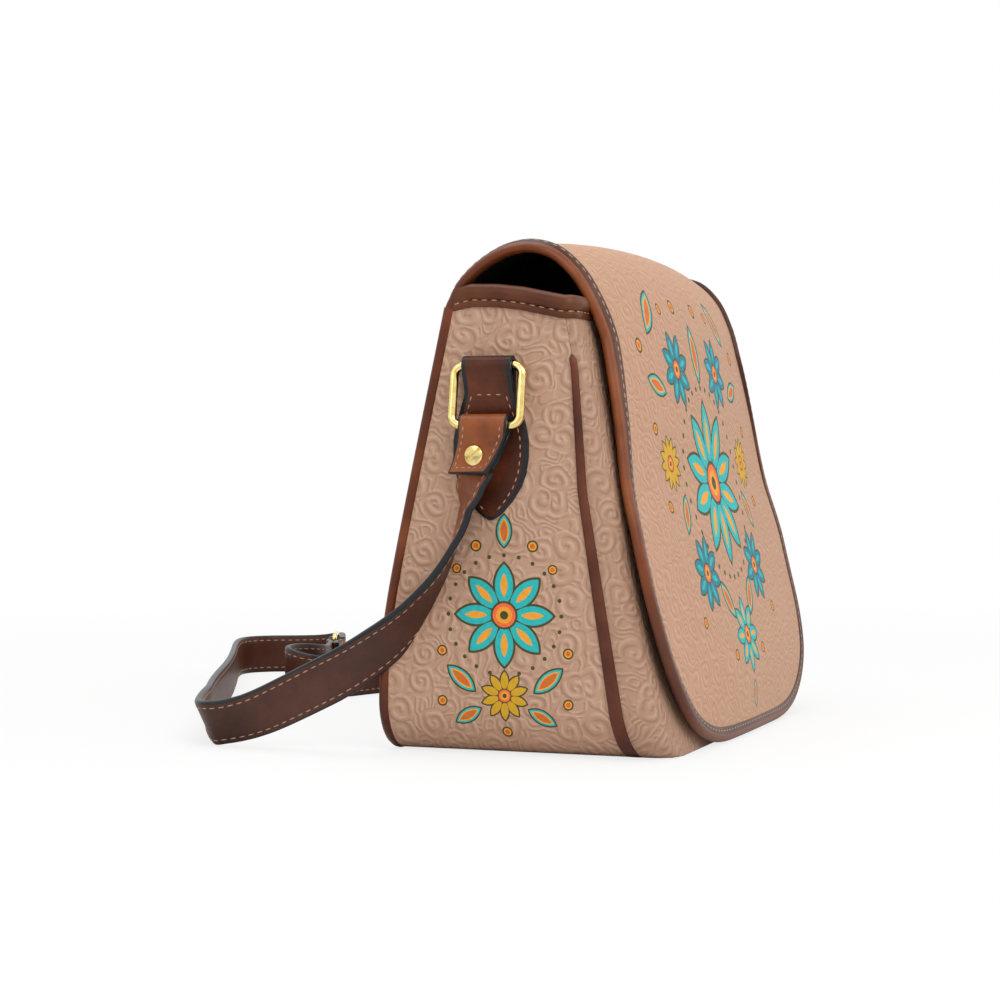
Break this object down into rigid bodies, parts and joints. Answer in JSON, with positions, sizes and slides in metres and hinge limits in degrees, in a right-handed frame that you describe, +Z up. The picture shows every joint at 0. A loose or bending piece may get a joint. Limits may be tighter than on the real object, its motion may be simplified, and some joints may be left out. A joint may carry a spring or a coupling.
{
  "type": "saddle handbag",
  "caption": "Structured leather saddle handbag with a full front flap, side rings and a flat shoulder strap that lies on the floor behind it.",
  "frame": {"origin": "middle of the base, on the surface the bag stands on", "axes": "+X along the bag's width, -Y out of the front that the flap covers, +Z up"},
  "size_m": [0.3471, 0.3675, 0.222],
  "materials": {
    "tan_leather": "embossed, satin",
    "brown_leather": "smooth, waxed",
    "lining_fabric": "woven, matt",
    "board": "pressed fibreboard",
    "gold_metal": "polished",
    "snap_metal": "satin"
  },
  "bodies": {
    "bag": {"back_panel": "tan_leather", "back_binding": "brown_leather", "front_panel": "tan_leather", "left_gusset": "tan_leather", "right_gusset": "tan_leather", "base_panel": "brown_leather", "base_board": "board", "lining": "lining_fabric", "left_mouth_band": "brown_leather", "right_mouth_band": "brown_leather", "front_mouth_band": "brown_leather", "left_front_piping": "brown_leather", "right_front_piping": "brown_leather", "left_anchor_tab": "brown_leather", "right_anchor_tab": "brown_leather", "snap_socket": "snap_metal", "strap_long": "brown_leather", "strap_short": "brown_leather", "strap_link": "gold_metal", "link_screws": "gold_metal"},
    "flap": {"flap_panel": "tan_leather", "flap_lining": "lining_fabric", "flap_binding": "brown_leather", "snap_stud": "snap_metal"},
    "left_ring_body": {"left_ring": "gold_metal", "left_strap_end": "brown_leather", "left_strap_screw": "gold_metal"},
    "right_ring_body": {"right_ring": "gold_metal", "right_strap_end": "brown_leather", "right_strap_screw": "gold_metal"}
  },
  "joints": [
    {"name": "flap_hinge", "type": "hinge", "parent": "bag", "child": "flap", "pos_m": [0, 0.026, 0.19615], "axis": [-1, 0, 0], "range_deg": [0, 150]},
    {"name": "left_ring_swing", "type": "hinge", "parent": "bag", "child": "left_ring_body", "pos_m": [-0.13825, 0.006, 0.17], "axis": [0, 1, 0], "range_deg": [0, 80], "deforming": ["strap_long"]},
    {"name": "right_ring_swing", "type": "hinge", "parent": "bag", "child": "right_ring_body", "pos_m": [0.13825, 0.006, 0.17], "axis": [0, -1, 0], "range_deg": [0, 80], "deforming": ["strap_short"]}
  ]
}
